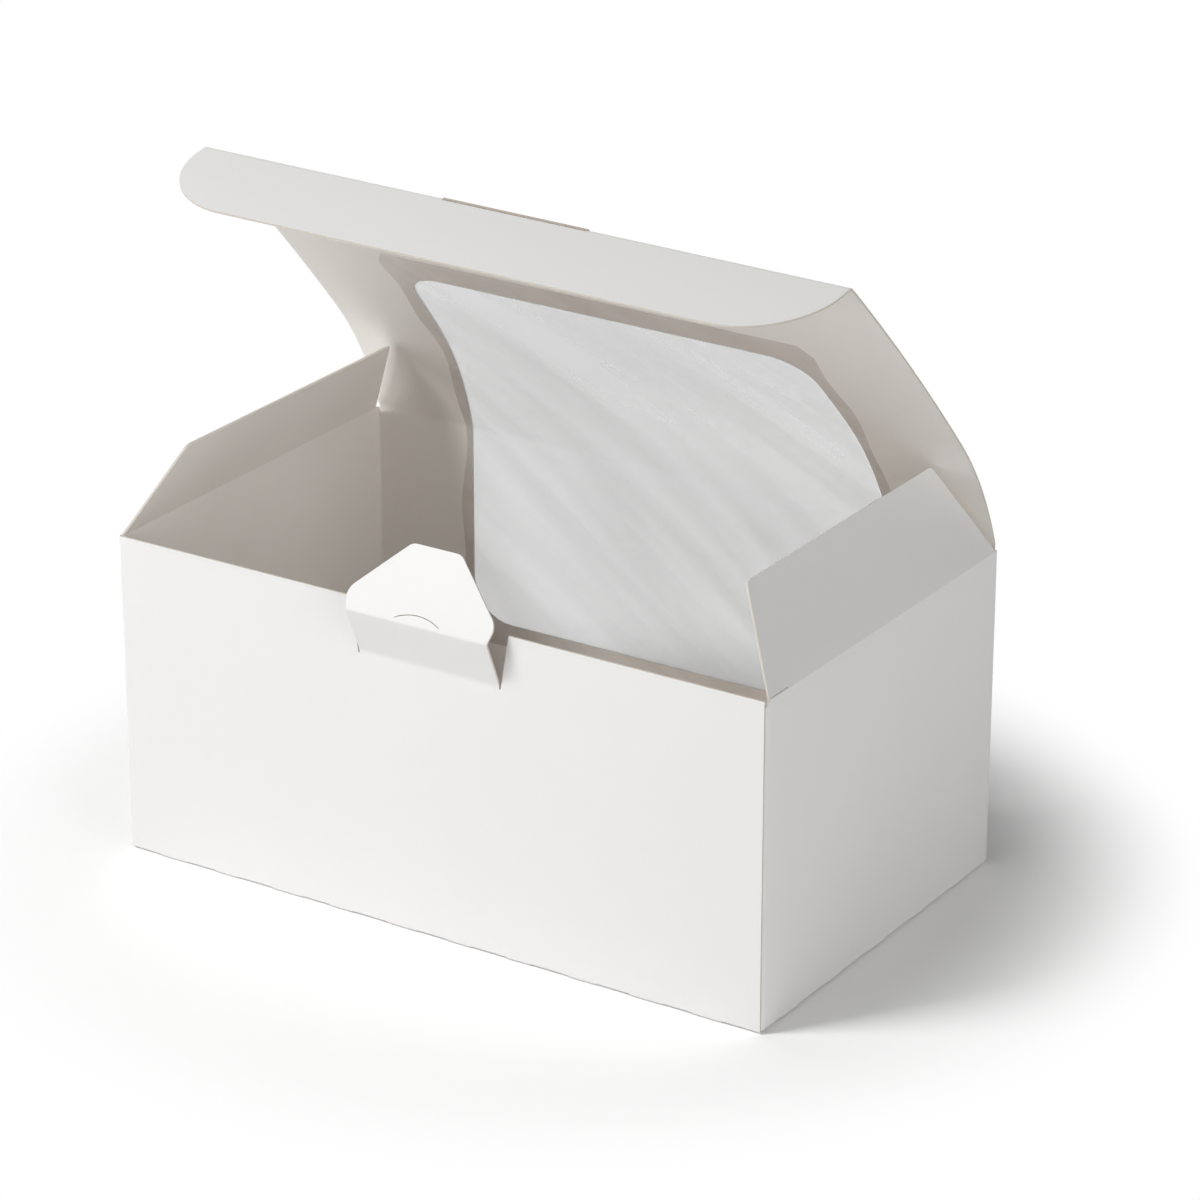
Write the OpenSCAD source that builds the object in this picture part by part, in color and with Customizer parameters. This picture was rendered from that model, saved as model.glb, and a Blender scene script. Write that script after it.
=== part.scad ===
// Cupcake box folded from one paperboard blank, standing open.
// Front faces -Y, +Z is up, the origin is the middle of the footprint.

/* [Box] */
// Outside width of the box, left to right
box_w = 180; // [140:1:240]
// Outside depth of the box, front to back
box_d = 107; // [90:1:150]
// Height of the walls
box_h = 82; // [70:1:120]
// Thickness of the paperboard
board_t = 0.5; // [0.35:0.05:0.8]

/* [Lid] */
// Length of the lid along its surface, from rear crease to front crease
lid_len = 108.5; // [95:0.5:150]
// Slope of the lid where it leaves the rear crease, in degrees
lid_rise_root = 73.5; // [70:0.5:80]
// Slope of the lid at the end of its bent root, in degrees
lid_rise_mid = 49; // [46:0.5:60]
// Slope of the lid at its front crease, in degrees
lid_rise_tip = 43.5; // [36:0.5:45]
// Length of the bent root of the lid
lid_root_len = 36; // [25:1:45]
// How much narrower the lid is on each side at its front crease
lid_taper = 1.5; // [0.5:0.5:4]

/* [Tuck flap] */
// Depth of the tuck flap
tuck_len = 25.5; // [15:0.5:35]
// Slope of the tuck flap below level, in degrees
tuck_drop = 10; // [0:1:40]
// Radius of the tuck flap's rounded ends
tuck_round = 22; // [8:1:24]
// Length of the locking slot in the front crease
slot_len = 40; // [34:0.5:50]
// Depth of the locking slot into the lid
slot_depth = 0.4; // [0.2:0.1:1.5]

/* [Side flaps] */
// Height of a side flap along its surface
flap_len = 25.5; // [15:0.5:35]
// Set-back of a side flap's free edge at each end
flap_taper = 12; // [8:0.5:20]
// Relief step at each end of a side flap's crease
flap_step = 1; // [0.8:0.2:3]
// Lean of a side flap over the box, in degrees
flap_lean = 29; // [20:1:50]

/* [Lock tab] */
// Width of the lock tab at its folds
tab_w = 39; // [30:0.5:44]
// Depth of the tab's base fold below the rim
tab_drop = 13; // [10:0.5:18]
// Length of the tab above its middle crease
tab_tip_len = 18.4; // [14:0.2:24]
// Width of the blunt end of the tab
tab_tip_w = 11; // [8:0.5:16]
// Height of the tab's shoulder above its middle crease
tab_shoulder = 7.5; // [4:0.5:10]
// Outward lean of the lower half of the tab, in degrees
tab_lean = 23; // [10:1:35]
// Bend at the tab's middle crease, in degrees
tab_bend = 51; // [30:1:70]
// Widening of the cut-out from the base fold to the rim, each side
tab_flare = 2.3; // [1:0.1:4]
// Width of the curved thumb slit
thumb_w = 12.5; // [8:0.5:16]
// Rise of the curved thumb slit
thumb_rise = 1.6; // [1:0.1:3]
// Width of the cut of the thumb slit
slit_w = 0.4; // [0.3:0.05:0.6]
// Distance of the thumb slit from the middle crease
thumb_up = 0.9; // [0.6:0.1:2]

/* [Window] */
// Width of the window at the rear crease
window_w = 121; // [80:1:128]
// Width of the window at its upper edge in the lid
window_top_w = 114; // [76:1:120]
// Reach of the window into the lid
window_reach = 60; // [45:1:75]
// Height of the window's lower edge above the ground
window_sill = 30; // [20:1:40]
// Corner radius of the window
window_r = 11; // [5:1:16]
// Overlap of the glued film round the window
film_lap = 6; // [3:0.5:7]
// Thickness of the film
film_t = 0.15; // [0.1:0.05:0.2]

/* [Seam and clearances] */
// Width of the glue flap in the front right corner
glue_w = 12; // [8:1:16]
// Cut-back of the glue flap at its ends
glue_cut = 3; // [1:0.5:6]
// Gap between a moving panel's rounded root and the panel it folds on
fold_gap = 0.15; // [0.1:0.05:0.3]
// Kerf round the lock tab where it is cut from the front
cut_gap = 0.35; // [0.3:0.05:0.6]
// Gap between the lid's root and the side walls
side_gap = 0.3; // [0.3:0.05:0.6]
// Gap between film and board, taken up by glue
glue_gap = 0.02; // [0.01:0.01:0.05]

/* [Hidden] */
$fn = 96;
root_steps = 12;
tip_steps = 8;
root_bead = 0.03;
far = 400;
past = 10;
fold_r = board_t / 2;
root_gap = fold_r + fold_gap;
hinge_y = box_d / 2 - fold_r;
root_turn = lid_rise_root - lid_rise_mid;
root_r = lid_root_len / (root_turn * PI / 180);
tip_turn = lid_rise_mid - lid_rise_tip;
tip_r = (lid_len - lid_root_len) / (tip_turn * PI / 180);
root_mid = lid_rise_root - root_turn / 2;
root_chord = 2 * root_r * sin(root_turn / 2);
bend_y = hinge_y - root_chord * cos(root_mid);
bend_z = box_h + root_chord * sin(root_mid);
tip_mid = lid_rise_mid - tip_turn / 2;
tip_chord = 2 * tip_r * sin(tip_turn / 2);
tuck_y = bend_y - tip_chord * cos(tip_mid);
tuck_z = bend_z + tip_chord * sin(tip_mid);
lid_root_w = box_w - 2 * (board_t + side_gap);
lid_front_w = box_w - 2 * lid_taper;
lid_slope = atan2(tuck_z - box_h, hinge_y - tuck_y);
tab_z = box_h - tab_drop;
tab_y = -box_d / 2 + fold_r;
film_clear = 0.5;
thumb_r = (pow(thumb_w / 2, 2) + pow(thumb_rise, 2)) / (2 * thumb_rise);
tab_tip_r = 3;

// Places children in the lid's own plane: X across, Y up from the rear crease
module on_lid_chord() {
    translate([0, hinge_y, box_h])
        rotate([180 - lid_slope, 0, 0])
        children();
}

// Slope of the lid at a distance along it from the rear crease
function lid_rise(s) = s < lid_root_len
    ? lid_rise_root - root_turn * s / lid_root_len
    : lid_rise_mid - tip_turn * (s - lid_root_len) / (lid_len - lid_root_len);

// Side view point [y, z] at a distance along the lid and a distance out from its middle
function lid_point(s, out) = s < lid_root_len
    ? [hinge_y - root_r * sin(lid_rise_root) + (root_r + out) * sin(lid_rise(s)),
       box_h - root_r * cos(lid_rise_root) + (root_r + out) * cos(lid_rise(s))]
    : [bend_y - tip_r * sin(lid_rise_mid) + (tip_r + out) * sin(lid_rise(s)),
       bend_z - tip_r * cos(lid_rise_mid) + (tip_r + out) * cos(lid_rise(s))];

// Distances along the lid at which its bend is drawn
function lid_stations(from_s, to_s) = concat(
    [for (i = [0 : root_steps - 1]) from_s + (lid_root_len - from_s) * i / root_steps],
    [for (i = [0 : tip_steps]) lid_root_len + (to_s - lid_root_len) * i / tip_steps]);

// Bent sheet of the lid between two distances out from its middle surface
module lid_sheet(inside, outside, from_s, to_s) {
    along = lid_stations(from_s, to_s);
    last = len(along) - 1;
    rotate([90, 0, 90])
        linear_extrude(box_w, center = true)
        polygon(concat([for (i = [0 : last]) lid_point(along[i], outside)],
                       [for (i = [0 : last]) lid_point(along[last - i], inside)]));
}

// Outline of the lid seen square on
module lid_outline(from_y, to_y) {
    polygon([[-lid_root_w / 2, from_y], [lid_root_w / 2, from_y],
             [lid_front_w / 2, to_y], [-lid_front_w / 2, to_y]]);
}

// Window outline in the lid, open downwards past the rear crease
module lid_window_outline(grow, low) {
    half_low = window_w / 2 + grow;
    half_top = window_top_w / 2 + grow;
    top = window_reach + grow;
    r = window_r;
    polygon([[-half_low, low], [half_low, low], [half_top, top - r], [half_top - r, top],
             [r - half_top, top], [-half_top, top - r]]);
    for (side = [-1, 1])
        translate([side * (half_top - r), top - r])
        circle(r);
}

// Window outline in the rear wall, open upwards to the rim
module wall_window_outline(grow, high) {
    half = window_w / 2 + grow;
    low = window_sill - grow;
    r = window_r;
    translate([-half, low + r])
        square([2 * half, high - low - r]);
    translate([r - half, low])
        square([2 * (half - r), r]);
    for (side = [-1, 1])
        translate([side * (half - r), low + r])
        circle(r);
}

// Side wall with its glue-free rim, and the flap that leans in from its top
module side_flap(side) {
    translate([side * (box_w / 2 - fold_r), 0, box_h - fold_r]) {
        rotate([0, -side * flap_lean, 0])
            rotate([90, 0, 90])
            linear_extrude(board_t, center = true)
            polygon([[flap_step - box_d / 2, 0], [box_d / 2 - flap_step, 0],
                     [box_d / 2 - flap_taper, flap_len], [flap_taper - box_d / 2, flap_len]]);
        rotate([90, 0, 0])
            cylinder(h = box_d, r = fold_r, center = true, $fn = 32);
    }
}

// Cut-out that the lock tab leaves in the front wall
module tab_cutout() {
    half_low = tab_w / 2 + cut_gap;
    half_high = half_low + tab_flare;
    translate([0, past - box_d / 2, 0])
        rotate([90, 0, 0])
        linear_extrude(2 * past)
        polygon([[-half_low, tab_z - root_gap], [half_low, tab_z - root_gap],
                 [half_high, box_h + past], [-half_high, box_h + past]]);
}

// Walls, floor, glue flap and side flaps: one folded blank
module carton() {
    color("white") {
        difference() {
            union() {
                translate([-box_w / 2, -box_d / 2, 0])
                    cube([box_w, box_d, board_t]);
                translate([-box_w / 2, -box_d / 2, 0])
                    cube([box_w, board_t, box_h]);
                translate([-box_w / 2, box_d / 2 - board_t, 0])
                    cube([box_w, board_t, box_h - root_gap]);
                for (side = [-1, 1])
                    translate([side * (box_w - board_t) / 2 - board_t / 2, -box_d / 2, 0])
                    cube([board_t, box_d, box_h - fold_r]);
            }
            tab_cutout();
            translate([0, box_d / 2 + past, 0])
                rotate([90, 0, 0])
                linear_extrude(2 * past)
                wall_window_outline(0, box_h + past);
        }
        glue_flap();
        for (side = [-1, 1])
            side_flap(side);
    }
}

// Seam strip glued inside the front wall at the right corner, its ends cut back
module glue_flap() {
    translate([box_w / 2 - board_t, 2 * board_t - box_d / 2, 0])
        rotate([90, 0, 0])
        linear_extrude(board_t)
        polygon([[0, glue_cut], [0, box_h - glue_cut],
                 [-glue_w, box_h - 2 * glue_cut], [-glue_w, 2 * glue_cut]]);
}

// Curved lid with the slot in its front crease and the upper half of the window
module lid() {
    color("white") {
        difference() {
            intersection() {
                lid_sheet(-fold_r, fold_r, 0, lid_len - root_gap);
                on_lid_chord()
                    translate([0, 0, -far / 2])
                    linear_extrude(far)
                    lid_outline(-past, tuck_reach());
            }
            on_lid_chord()
                translate([0, 0, -far / 2])
                linear_extrude(far)
                lid_window_outline(0, -past);
            translate([0, tuck_y, tuck_z])
                rotate([-lid_rise_tip, 0, 0])
                translate([-slot_len / 2, 0, -past / 2])
                cube([slot_len, root_gap + slot_depth, past]);
        }
        for (side = [-1, 1])
            translate([side * (lid_root_w + window_w) / 4, hinge_y, box_h])
            rotate([0, 90, 0])
            cylinder(h = (lid_root_w - window_w) / 2, r = fold_r + root_bead, center = true, $fn = 32);
    }
}

// Straight distance from the rear crease to the front crease
function tuck_reach() = norm([hinge_y - tuck_y, tuck_z - box_h]);

// Front flap of the lid, with large rounded ends
module tuck_flap() {
    color("white")
        translate([0, tuck_y, tuck_z])
        rotate([180 + tuck_drop, 0, 0]) {
            translate([0, 0, -fold_r])
                linear_extrude(board_t)
                tuck_outline();
            difference() {
                rotate([0, 90, 0])
                    cylinder(h = lid_front_w, r = fold_r, center = true, $fn = 32);
                cube([slot_len, 2 * board_t, 2 * board_t], center = true);
            }
        }
}

module tuck_outline() {
    half = lid_front_w / 2;
    straight = tuck_len - tuck_round;
    difference() {
        union() {
            translate([-half, 0])
                square([2 * half, straight]);
            translate([tuck_round - half, 0])
                square([2 * (half - tuck_round), tuck_len]);
            for (side = [-1, 1])
                translate([side * (half - tuck_round), straight])
                circle(tuck_round, $fn = 128);
        }
        translate([-half, -far])
            square([2 * half, far]);
        translate([-slot_len / 2, -past])
            square([slot_len, past + fold_r]);
    }
}

// Lock tab: lower half from the base fold, upper half bent back at the middle crease
module lock_tab() {
    color("white")
        translate([0, tab_y, tab_z])
        rotate([90 + tab_lean, 0, 0]) {
            rotate([0, 90, 0])
                cylinder(h = tab_w, r = fold_r, center = true, $fn = 32);
            translate([0, 0, -fold_r])
                linear_extrude(board_t)
                translate([-tab_w / 2, 0])
                square([tab_w, tab_drop]);
            translate([0, tab_drop, 0]) {
                rotate([0, 90, 0])
                    cylinder(h = tab_w, r = fold_r, center = true, $fn = 32);
                rotate([-tab_bend, 0, 0])
                    translate([0, 0, -fold_r])
                    linear_extrude(board_t)
                    tab_tip_outline();
            }
        }
}

module tab_tip_outline() {
    r = tab_tip_r;
    half = tab_w / 2;
    difference() {
        union() {
            polygon([[-half, 0], [half, 0], [half, tab_shoulder], [tab_tip_w / 2 + r, tab_tip_len - r],
                     [tab_tip_w / 2, tab_tip_len], [-tab_tip_w / 2, tab_tip_len],
                     [-tab_tip_w / 2 - r, tab_tip_len - r], [-half, tab_shoulder]]);
            for (side = [-1, 1])
                translate([side * tab_tip_w / 2, tab_tip_len - r])
                circle(r);
        }
        thumb_slit();
    }
}

// Half-moon cut just above the middle crease
module thumb_slit() {
    drop = thumb_r - thumb_rise;
    translate([0, thumb_up - drop])
        difference() {
            circle(thumb_r);
            circle(thumb_r - slit_w);
            translate([-far / 2, drop - far])
                square([far, far]);
        }
}

// Film behind the window in the rear wall
module wall_window() {
    color("lightcyan", 0.4)
        translate([0, box_d / 2 - board_t - glue_gap, 0])
        rotate([90, 0, 0])
        linear_extrude(film_t)
        wall_window_outline(film_lap, box_h - film_clear);
}

// Film under the window in the lid, bent as the lid is
module lid_window() {
    color("lightcyan", 0.4)
        intersection() {
            lid_sheet(-fold_r - glue_gap - film_t, -fold_r - glue_gap, film_clear, lid_len);
            on_lid_chord()
                translate([0, 0, -far / 2])
                linear_extrude(far)
                lid_window_outline(film_lap, -past);
        }
}

carton();
lid();
tuck_flap();
lock_tab();
wall_window();
lid_window();
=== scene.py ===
# %% [markdown]
# A cupcake box is one cut and creased blank of thin paperboard, with a clear
# film glued behind its window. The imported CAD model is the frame: it gives the
# places of the walls, the lid, the tuck flap and the lock tab, and the bodies
# that move. This lesson dresses that frame with thin folded board, so that
# every crease is round, every cut shows the raw core of the board, and the
# film lies behind the window as a real film does.

# %% Load the frame
from math import atan2, cos, degrees, hypot, pi, radians, sin
import bmesh
import bpy
from mathutils import Matrix, Vector
from mathutils.geometry import delaunay_2d_cdt


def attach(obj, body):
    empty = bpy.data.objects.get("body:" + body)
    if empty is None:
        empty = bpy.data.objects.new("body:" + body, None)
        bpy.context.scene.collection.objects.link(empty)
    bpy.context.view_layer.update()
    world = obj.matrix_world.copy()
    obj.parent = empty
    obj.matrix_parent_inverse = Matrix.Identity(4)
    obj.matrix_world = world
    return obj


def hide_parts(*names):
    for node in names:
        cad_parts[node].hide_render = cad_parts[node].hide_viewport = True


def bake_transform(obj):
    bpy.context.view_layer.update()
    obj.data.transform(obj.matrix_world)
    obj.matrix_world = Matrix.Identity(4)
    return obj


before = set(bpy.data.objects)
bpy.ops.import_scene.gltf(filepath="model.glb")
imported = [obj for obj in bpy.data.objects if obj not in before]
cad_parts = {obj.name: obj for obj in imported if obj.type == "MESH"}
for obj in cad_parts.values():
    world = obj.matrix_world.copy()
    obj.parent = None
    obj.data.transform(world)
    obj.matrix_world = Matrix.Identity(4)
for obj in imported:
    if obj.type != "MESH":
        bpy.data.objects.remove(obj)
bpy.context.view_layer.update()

# %% [markdown]
# The sizes below are the ones that the CAD source uses, in metres and radians.
# They are written again here because this script reads nothing but the frame.

# %% Sizes of the box
MM = 0.001
BOX_W = 180 * MM
BOX_D = 107 * MM
BOX_H = 82 * MM
BOARD_T = 0.5 * MM
HALF_T = BOARD_T / 2
FILM_T = 0.15 * MM
GLUE_GAP = 0.02 * MM
BOARD_STEP = 9 * MM

# %% Sizes of the lid and its flap
LID_LEN = 108.5 * MM
RISE_ROOT = radians(73.5)
RISE_MID = radians(49)
RISE_TIP = radians(43.5)
ROOT_LEN = 36 * MM
LID_ROOT_W = BOX_W - 2 * (BOARD_T + 0.3 * MM)
LID_FRONT_W = BOX_W - 3 * MM
TUCK_LEN = 25.5 * MM
TUCK_DROP = radians(10)
TUCK_ROUND = 22 * MM
SLOT_LEN = 40 * MM

# %% Sizes of the side flaps, the lock tab and the window
FLAP_LEN = 25.5 * MM
FLAP_TAPER = 12 * MM
FLAP_STEP = 1 * MM
FLAP_LEAN = radians(29)
TAB_W = 39 * MM
TAB_DROP = 13 * MM
TAB_TIP_LEN = 18.4 * MM
TAB_TIP_W = 11 * MM
TAB_TIP_R = 3 * MM
TAB_SHOULDER = 7.5 * MM
TAB_LEAN = radians(23)
TAB_BEND = radians(51)
TAB_FLARE = 2.3 * MM
CUT_GAP = 0.35 * MM
WINDOW_W = 121 * MM
WINDOW_TOP_W = 114 * MM
WINDOW_REACH = 60 * MM
WINDOW_SILL = 30 * MM
WINDOW_R = 11 * MM
FILM_LAP = 6 * MM

# %% [markdown]
# The lid is not flat: it springs back from its crease in a bend that is tight
# near the rear wall and almost straight after that. Two arcs that share a
# tangent describe it. `lid_point` gives the side view point at a distance
# along the lid, and `out` moves that point away from the middle of the board.

# %% The bend of the lid
HINGE_Y = BOX_D / 2 - HALF_T
ROOT_TURN = RISE_ROOT - RISE_MID
TIP_TURN = RISE_MID - RISE_TIP
ROOT_R = ROOT_LEN / ROOT_TURN
TIP_R = (LID_LEN - ROOT_LEN) / TIP_TURN


def lid_rise(s):
    """Slope of the lid at a distance along it from the rear crease."""
    if s < ROOT_LEN:
        return RISE_ROOT - ROOT_TURN * s / ROOT_LEN
    return RISE_MID - TIP_TURN * (s - ROOT_LEN) / (LID_LEN - ROOT_LEN)


def root_point(rise, out):
    y = HINGE_Y - ROOT_R * sin(RISE_ROOT) + (ROOT_R + out) * sin(rise)
    z = BOX_H - ROOT_R * cos(RISE_ROOT) + (ROOT_R + out) * cos(rise)
    return y, z


BEND_Y, BEND_Z = root_point(RISE_MID, 0)


def lid_point(s, out):
    """Side view point (y, z) at a distance along the lid and out from its middle."""
    if s < ROOT_LEN:
        return root_point(lid_rise(s), out)
    y = BEND_Y - TIP_R * sin(RISE_MID) + (TIP_R + out) * sin(lid_rise(s))
    z = BEND_Z - TIP_R * cos(RISE_MID) + (TIP_R + out) * cos(lid_rise(s))
    return y, z


TUCK_Y, TUCK_Z = lid_point(LID_LEN, 0)
LID_SLOPE = atan2(TUCK_Z - BOX_H, HINGE_Y - TUCK_Y)
print("front crease of the lid, y and z:", round(TUCK_Y, 5), round(TUCK_Z, 5))

# %% [markdown]
# Real board moves between two planes in a small arc, never in a sharp corner.
# A side view line of many short steps describes such a fold, and `profile`
# turns it into a function: given a distance along the board, it answers with
# the place and the outward direction there. Every sheet of this box that is
# the same from left to right uses it.

# %% Side view profiles
def arc_step(start, direction, turn, length, steps):
    """Points of an arc from a start point; direction and turn are angles in radians."""
    points = []
    y, z = start
    for i in range(steps):
        angle = direction + turn * (i + 0.5) / steps
        y += cos(angle) * length / steps
        z += sin(angle) * length / steps
        points.append((y, z))
    return points


def profile(points):
    """Function from a distance along the line to (y, z, tangent y, tangent z)."""
    lengths = [0.0]
    for (ya, za), (yb, zb) in zip(points, points[1:]):
        lengths.append(lengths[-1] + hypot(yb - ya, zb - za))
    tangents = []
    for i in range(len(points)):
        (ya, za), (yb, zb) = points[max(i - 1, 0)], points[min(i + 1, len(points) - 1)]
        size = hypot(yb - ya, zb - za)
        tangents.append(((yb - ya) / size, (zb - za) / size))

    def at(v):
        v = min(max(v, 0.0), lengths[-1])
        i = 0
        while i < len(lengths) - 2 and lengths[i + 1] < v:
            i += 1
        part = (v - lengths[i]) / (lengths[i + 1] - lengths[i])
        this, following = points[i] + tangents[i], points[i + 1] + tangents[i + 1]
        mix = [a + (b - a) * part for a, b in zip(this, following)]
        size = hypot(mix[2], mix[3])
        return mix[0], mix[1], mix[2] / size, mix[3] / size

    return at, lengths


# %% [markdown]
# A die cuts the blank flat, and then the blank is folded. The helper below
# does the same: it fills a flat outline with small triangles, leaves the
# holes out, and only then moves each point to its folded place, once for each
# face of the board. The rim between the two faces is the raw cut edge. A
# constrained triangulation is used because it follows the outline and the
# fold lines exactly, where a boolean cut on a bent sheet can tear. A patch is
# a part of the sheet, drawn as a loop too, that gets a finish of its own.

# %% Cut a flat outline and fold it
def inside(point, loop):
    """True if a flat point lies inside a closed loop."""
    x, y = point
    found = False
    for (xa, ya), (xb, yb) in zip(loop, loop[1:] + loop[:1]):
        if (ya > y) != (yb > y) and x < (xb - xa) * (y - ya) / (yb - ya) + xa:
            found = not found
    return found


def triangles(outline, holes, patches, lines_u, lines_v):
    """Flat points and triangles of an outline with holes, cut along the given lines."""
    loops = [outline] + holes + patches
    flat = [(u / MM, v / MM) for loop in loops for u, v in loop]
    edges = []
    first = 0
    for loop in loops:
        edges += [(first + i, first + (i + 1) % len(loop)) for i in range(len(loop))]
        first += len(loop)
    low_u, high_u = min(p[0] for p in flat) - 1, max(p[0] for p in flat) + 1
    low_v, high_v = min(p[1] for p in flat) - 1, max(p[1] for p in flat) + 1
    for u in lines_u:
        edges.append((len(flat), len(flat) + 1))
        flat += [(u / MM, low_v), (u / MM, high_v)]
    for v in lines_v:
        edges.append((len(flat), len(flat) + 1))
        flat += [(low_u, v / MM), (high_u, v / MM)]
    points, _, faces, *_ = delaunay_2d_cdt([Vector(p) for p in flat], edges, [], 0, 1e-4)
    kept = []
    for face in faces:
        middle = sum((points[i] for i in face), Vector((0, 0))) / len(face)
        at = (middle.x * MM, middle.y * MM)
        if inside(at, outline) and not any(inside(at, hole) for hole in holes):
            kept.append(face)
    return [(p.x * MM, p.y * MM) for p in points], kept


RIM_FINISH = 2
EXTRA_FINISH = 3


def folded_sheet(name, outline, place, lines_u=(), lines_v=(), holes=(), patches=(),
                 thick=BOARD_T, materials=()):
    """Mesh object of a flat outline, given thickness and moved to its folded place.
    Its materials are for the outer face, the inner face, the rim and the patches."""
    patches = [list(p) for p in patches]
    points, faces = triangles(list(outline), [list(h) for h in holes], patches, lines_u, lines_v)
    mesh = bpy.data.meshes.new(name)
    bm = bmesh.new()
    uv = bm.loops.layers.uv.new("UVMap")
    used = sorted({i for face in faces for i in face})
    outer = {i: bm.verts.new(place(*points[i], thick / 2)) for i in used}
    inner = {i: bm.verts.new(place(*points[i], -thick / 2)) for i in used}
    flat_of = {vert: points[i] for side in (outer, inner) for i, vert in side.items()}
    directed = set()
    for face in faces:
        a, b, c = (Vector(points[i]) for i in face)
        loop = list(face) if (b - a).cross(c - a) > 0 else list(face)[::-1]
        middle = tuple(sum((Vector(points[i]) for i in face), Vector((0, 0))) / 3)
        patched = any(inside(middle, patch) for patch in patches)
        for index, side, turn in ((0, outer, 1), (1, inner, -1)):
            made = bm.faces.new([side[i] for i in loop[::turn]])
            made.material_index = EXTRA_FINISH if patched else index
            made.smooth = True
        directed.update(zip(loop, loop[1:] + loop[:1]))
    for i, j in sorted(directed):
        if (j, i) in directed:
            continue
        made = bm.faces.new([outer[j], outer[i], inner[i], inner[j]])
        made.material_index = RIM_FINISH
        for edge in made.edges:
            edge.smooth = False
    for face in bm.faces:
        for loop in face.loops:
            loop[uv].uv = flat_of[loop.vert]
    bm.to_mesh(mesh)
    bm.free()
    for material in materials:
        mesh.materials.append(material)
    made = bpy.data.objects.new(name, mesh)
    bpy.context.scene.collection.objects.link(made)
    print(name, "has", len(mesh.polygons), "faces")
    return made


def spaced(start, end, step):
    """Evenly spaced values between two ends, both left out, about a step apart."""
    count = max(int(round(abs(end - start) / step)), 1)
    return [start + (end - start) * i / count for i in range(1, count)]


def corner(centre, radius, start, end, steps=8):
    """Points of a rounded corner between two angles in degrees."""
    angles = [radians(start + (end - start) * i / steps) for i in range(steps + 1)]
    return [(centre[0] + radius * cos(a), centre[1] + radius * sin(a)) for a in angles]


# %% [markdown]
# Paperboard looks white from afar, but up close it is pressed fibre: the tone
# drifts a little over a few centimetres, and the surface has a fine tooth.
# The outside is coated and whiter, the inside is bare and warmer, and a cut
# shows the tan core. These three finishes share one node group, which gives
# a colour between a light and a deep tone and a height for the Bump node.

# %% Node group for pressed fibre
def new_group(name, inputs, outputs):
    """Empty shader node group with named sockets, and its two end nodes."""
    group = bpy.data.node_groups.new(name, "ShaderNodeTree")
    for label, kind, value in inputs:
        socket = group.interface.new_socket(name=label, in_out="INPUT", socket_type=kind)
        socket.default_value = value
    for label, kind in outputs:
        group.interface.new_socket(name=label, in_out="OUTPUT", socket_type=kind)
    return group, group.nodes.new("NodeGroupInput"), group.nodes.new("NodeGroupOutput")


def noise(tree, scale, detail):
    node = tree.nodes.new("ShaderNodeTexNoise")
    node.inputs["Scale"].default_value = scale
    node.inputs["Detail"].default_value = detail
    return node


def math_node(tree, operation, a, b):
    """Output of a Math node; a and b are numbers or sockets."""
    node = tree.nodes.new("ShaderNodeMath")
    node.operation = operation
    for socket, value in zip(node.inputs, (a, b)):
        if isinstance(value, (int, float)):
            socket.default_value = value
        else:
            tree.links.new(value, socket)
    return node.outputs["Value"]


def mix_socket(node, identifier):
    """Socket of a Mix node by its identifier, because its names repeat."""
    return next(s for s in list(node.inputs) + list(node.outputs) if s.identifier == identifier)


fibre, fibre_in, fibre_out = new_group(
    "pressed_fibre",
    [("Light tone", "NodeSocketColor", (0.8, 0.8, 0.8, 1)),
     ("Deep tone", "NodeSocketColor", (0.7, 0.7, 0.7, 1)),
     ("Cloud size", "NodeSocketFloat", 22.0),
     ("Tooth size", "NodeSocketFloat", 1600.0)],
    [("Colour", "NodeSocketColor"), ("Height", "NodeSocketFloat")])
place_in_object = fibre.nodes.new("ShaderNodeTexCoord").outputs["Object"]
cloud = noise(fibre, 22, 3)
tooth = noise(fibre, 1600, 4)
fleck = noise(fibre, 420, 2)
for texture in (cloud, tooth, fleck):
    fibre.links.new(place_in_object, texture.inputs["Vector"])
fibre.links.new(fibre_in.outputs["Cloud size"], cloud.inputs["Scale"])
fibre.links.new(fibre_in.outputs["Tooth size"], tooth.inputs["Scale"])
soft = math_node(fibre, "MULTIPLY", cloud.outputs["Fac"], 0.75)
fine = math_node(fibre, "MULTIPLY", tooth.outputs["Fac"], 0.25)
tone = fibre.nodes.new("ShaderNodeMix")
tone.data_type = "RGBA"
fibre.links.new(math_node(fibre, "ADD", soft, fine), mix_socket(tone, "Factor_Float"))
fibre.links.new(fibre_in.outputs["Light tone"], mix_socket(tone, "A_Color"))
fibre.links.new(fibre_in.outputs["Deep tone"], mix_socket(tone, "B_Color"))
fibre.links.new(mix_socket(tone, "Result_Color"), fibre_out.inputs["Colour"])
height = math_node(fibre, "ADD", tooth.outputs["Fac"], fleck.outputs["Fac"])
fibre.links.new(height, fibre_out.inputs["Height"])
print("node group", fibre.name, "has", len(fibre.nodes), "nodes")

# %% Board finishes
def new_material(name):
    made = bpy.data.materials.new(name)
    made.use_nodes = True
    return made, made.node_tree, made.node_tree.nodes["Principled BSDF"]


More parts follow.
